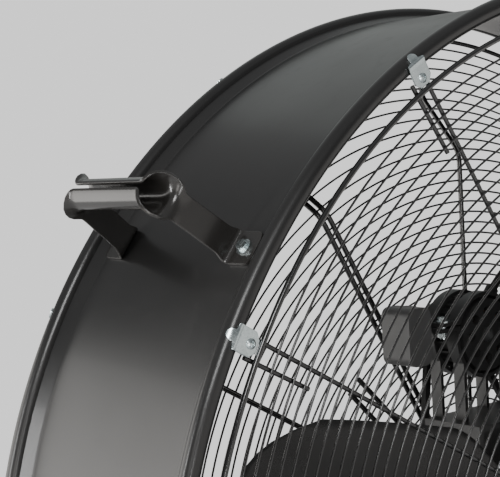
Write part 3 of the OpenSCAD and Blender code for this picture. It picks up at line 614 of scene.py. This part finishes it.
def make_centre_disc():
    y = front_y(HUB_RING) - 1.5 * SPOKE_WIRE + WELD - FIT - 0.0019
    dome = [(0, y - 0.0050), (0.020, y - 0.0049), (0.040, y - 0.0044), (0.056, y - 0.0035),
            (0.066, y - 0.0026), (0.071, y - 0.0015), (0.075, y - 0.0001), (0.0775, y + 0.0010),
            (0.0780, y + 0.0015), (0.0772, y + 0.0019), (0.070, y + 0.0019), (0, y + 0.0019)]
    finished(turned("front_centre_disc_shell", dome, 144), "disc_paint", "root", "front_centre_disc")


def make_clips():
    """Pressed clips: a plate under the screw, a fold along the bead and a round tongue bent over it."""
    face = -HALF_W - FIT - PLATE / 2
    hook = arc((BEAD_AT, -HALF_W + BEAD), BEAD + FIT + PLATE / 2, -90, -30, 16)
    line = Line([(CLIP_IN, face), (CLIP_IN + 0.011, face)] + hook)
    start_of_hook = BEAD_AT - CLIP_IN

    def place(u, v):
        along = line.length * (v + 1) / 2
        spot = line.at(along)[0]
        plate = CLIP_W / 2 - 0.0048 * (1 - ramp(along, 0, 0.0062))
        half = plate + (TONGUE - plate) * ramp(along, start_of_hook + 0.0012, start_of_hook + 0.0030)
        left = line.length - along
        if left < TONGUE:
            half *= math.sqrt(max(1 - ((TONGUE - left) / TONGUE) ** 2, 0.02))
        fold = 0.0007 * math.exp(-((along - start_of_hook) / 0.0014) ** 2)
        return Vector((u * half, spot.y - fold, spot.x))

    turns = [i * 360 / CLIPS for i in range(CLIPS)]
    front = shaped_sheet("clip", 14, 60, place, PLATE, 0.0003)
    rear = shaped_sheet("clip", 14, 60, lambda u, v: place(u, v) * Vector((1, -1, 1)), PLATE, 0.0003)
    for name, clip in (("front", front), ("rear", rear)):
        ring = joined(name + "_rim_clips", copies(clip, [around(t) for t in turns]))
        finished(ring, "zinc", "root", name + "_clips", sharp=40)


make_front_guard()
make_rear_guard()
make_centre_disc()
make_clips()


# ---------- Handles ----------

def make_handles():
    """A sheet rolled into an open tube, flared at both ends into flat legs with bolted feet."""
    low = GRIP_H - GRIP_R + HANDLE_T / 2
    line = Line(eased([(0, low), (LEG_TOP, low), (FOOT_BEND, HANDLE_T / 2), (FOOT_OUT, HANDLE_T / 2)],
                      0.0065))
    foot = line.length - (FOOT_OUT - FOOT_BEND)

    def place(u, v):
        along = abs(v) * line.length
        spot, way = line.at(along)
        flare = ramp(along, 0.049, 0.070)
        half = ROLLED_HALF + (LEG_HALF - ROLLED_HALF) * flare + 0.003 * ramp(along, foot - 0.012, foot)
        left = line.length - along
        if left < FOOT_CORNER:
            half += math.sqrt(max(FOOT_CORNER ** 2 - (FOOT_CORNER - left) ** 2, 0)) - FOOT_CORNER
        curl = (1 - ramp(along, 0.046, 0.076)) / (GRIP_R - HANDLE_T / 2)
        t = u * half
        if curl * half > 0.02:
            across, rise = math.sin(t * curl) / curl, (1 - math.cos(t * curl)) / curl
        else:
            across, rise = t, 0
        y = spot.x - way.y * rise
        return Vector((across, y if v > 0 else -y, BODY + spot.y + way.x * rise))

    for name, angle in (("left", HANDLE_ANGLE), ("right", -HANDLE_ANGLE)):
        handle = shaped_sheet("lift_handle_" + name, 26, 150, place, HANDLE_T, 0.0006)
        handle.data.transform(around(angle))
        finished(handle, "handle_paint", "root", "handle_" + name, sharp=40)


make_handles()


# ---------- Propeller ----------

def make_blades():
    """Pressed paddle blades, cambered across, with a rounded tip and root."""
    def half_width(r):
        if r < BLADE_WIDEST:
            rise = (r - BLADE_ROOT) / (BLADE_WIDEST - BLADE_ROOT)
            return BLADE_HALF * (0.52 + 0.48 * math.sin(math.pi / 2 * rise))
        return BLADE_HALF * (1 + 0.03 * math.sin(math.pi * (r - BLADE_WIDEST) / (BLADE_R - BLADE_WIDEST)))

    def place(u, v):
        tip = math.sqrt(BLADE_R ** 2 - (BLADE_HALF * u) ** 2) - TIP_DROP * abs(u) ** 5
        r = BLADE_ROOT + (v + 1) / 2 * (tip - BLADE_ROOT)
        x = u * half_width(r)
        fall = 0.6 * x * x * (1 if r < 0.2 else 1 + 0.15 * (r - 0.2) / 0.3)
        return Vector((x, -0.0003 - fall - BLADE_T / 2, r))

    blade = shaped_sheet("blade", 24, 60, place, BLADE_T, 0.0005)
    turns = [BLADE_START - 90 * i for i in range(4)]
    seat = Matrix.Translation((0, BLADE_Y, 0)) @ Matrix.Rotation(math.radians(BLADE_PITCH), 4, "Z")
    finished(joined("pressed_blades", copies(blade, [around(t) @ seat for t in turns])),
             "blade_paint", "rotor", "fan_blades", sharp=40)


make_blades()


# ---------- Floor, light and surroundings ----------

def make_floor():
    bpy.ops.mesh.primitive_cylinder_add(vertices=128, radius=2.4, depth=0.02, location=(0, 0, -0.01))
    floor = settled()
    floor.name = "floor"
    finish = Finish("pale_floor")
    finish.set("Base Color", finish.between(finish.noise(2), grey(0.74), grey(0.80)))
    finish.set("Roughness", finish.range(finish.noise(30), 0.3, 0.7, 0.5, 0.6))
    floor.data.materials.append(finish.material)


def make_surroundings():
    """A studio: bright low down, a dark band above it and a dim ceiling, with a pale wall behind."""
    world = bpy.data.worlds.new("studio")
    bpy.context.scene.world = world
    world.use_nodes = True
    tree = world.node_tree
    background = tree.nodes["Background"]
    background.inputs["Strength"].default_value = 1.0
    spot = tree.nodes.new("ShaderNodeTexCoord")
    split = tree.nodes.new("ShaderNodeSeparateXYZ")
    tree.links.new(spot.outputs["Object"], split.inputs[0])
    bands = tree.nodes.new("ShaderNodeValToRGB")
    stops = [(0.0, 0.75, 0.02), (0.49, 0.85, 0.03), (0.53, 0.8, 0.03), (0.60, 0.2, 0.0),
             (0.74, 0.2, -0.02), (0.86, 0.34, -0.01), (1.0, 0.36, -0.01)]
    while len(bands.color_ramp.elements) < len(stops):
        bands.color_ramp.elements.new(0.5)
    for element, (position, level, warm) in zip(bands.color_ramp.elements, stops):
        element.position, element.color = position, grey(level, warm)
    raised = tree.nodes.new("ShaderNodeMapRange")
    raised.inputs[1].default_value, raised.inputs[2].default_value = -1, 1
    tree.links.new(split.outputs[2], raised.inputs[0])
    tree.links.new(raised.outputs[0], bands.inputs[0])
    seen = tree.nodes.new("ShaderNodeLightPath")
    wall = tree.nodes.new("ShaderNodeMix")
    wall.data_type = "RGBA"
    wall.inputs[7].default_value = (1.15, 1.15, 1.15, 1)
    tree.links.new(seen.outputs["Is Camera Ray"], wall.inputs[0])
    tree.links.new(bands.outputs[0], wall.inputs[6])
    tree.links.new(wall.outputs[2], background.inputs["Color"])


def soft_light(name, place, target, size, power, colour=(1, 1, 1)):
    data = bpy.data.lights.new(name, "AREA")
    data.shape = "RECTANGLE"
    data.size, data.size_y = size
    data.energy, data.color = power, colour
    light = bpy.data.objects.new(name, data)
    bpy.context.scene.collection.objects.link(light)
    light.location = place
    light.rotation_euler = (Vector(target) - Vector(place)).to_track_quat("-Z", "Y").to_euler()
    light.visible_camera = False


make_floor()
make_surroundings()
soft_light("key", (-2.2, -2.0, 2.6), (0, 0, 0.7), (1.0, 1.0), 42)
soft_light("low_left", (-2.4, 2.1, 0.75), (-0.5, 0, 0.7), (2.8, 2.3), 46, (1, 0.98, 0.95))
soft_light("front_fill", (-2.6, -1.6, 0.7), (-0.4, 0, 0.8), (0.7, 1.2), 8, (1, 0.97, 0.94))
soft_light("strip_left", (-3.0, 0.5, 0.9), (-0.4, 0, 0.8), (0.22, 1.8), 34)
soft_light("strip_front", (-1.7, -2.6, 0.5), (-0.3, 0, 0.6), (0.18, 1.4), 14)
soft_light("above", (1.2, 1.8, 2.6), (0, 0, 1.0), (2.2, 1.6), 3.5, (0.92, 1, 0.95))
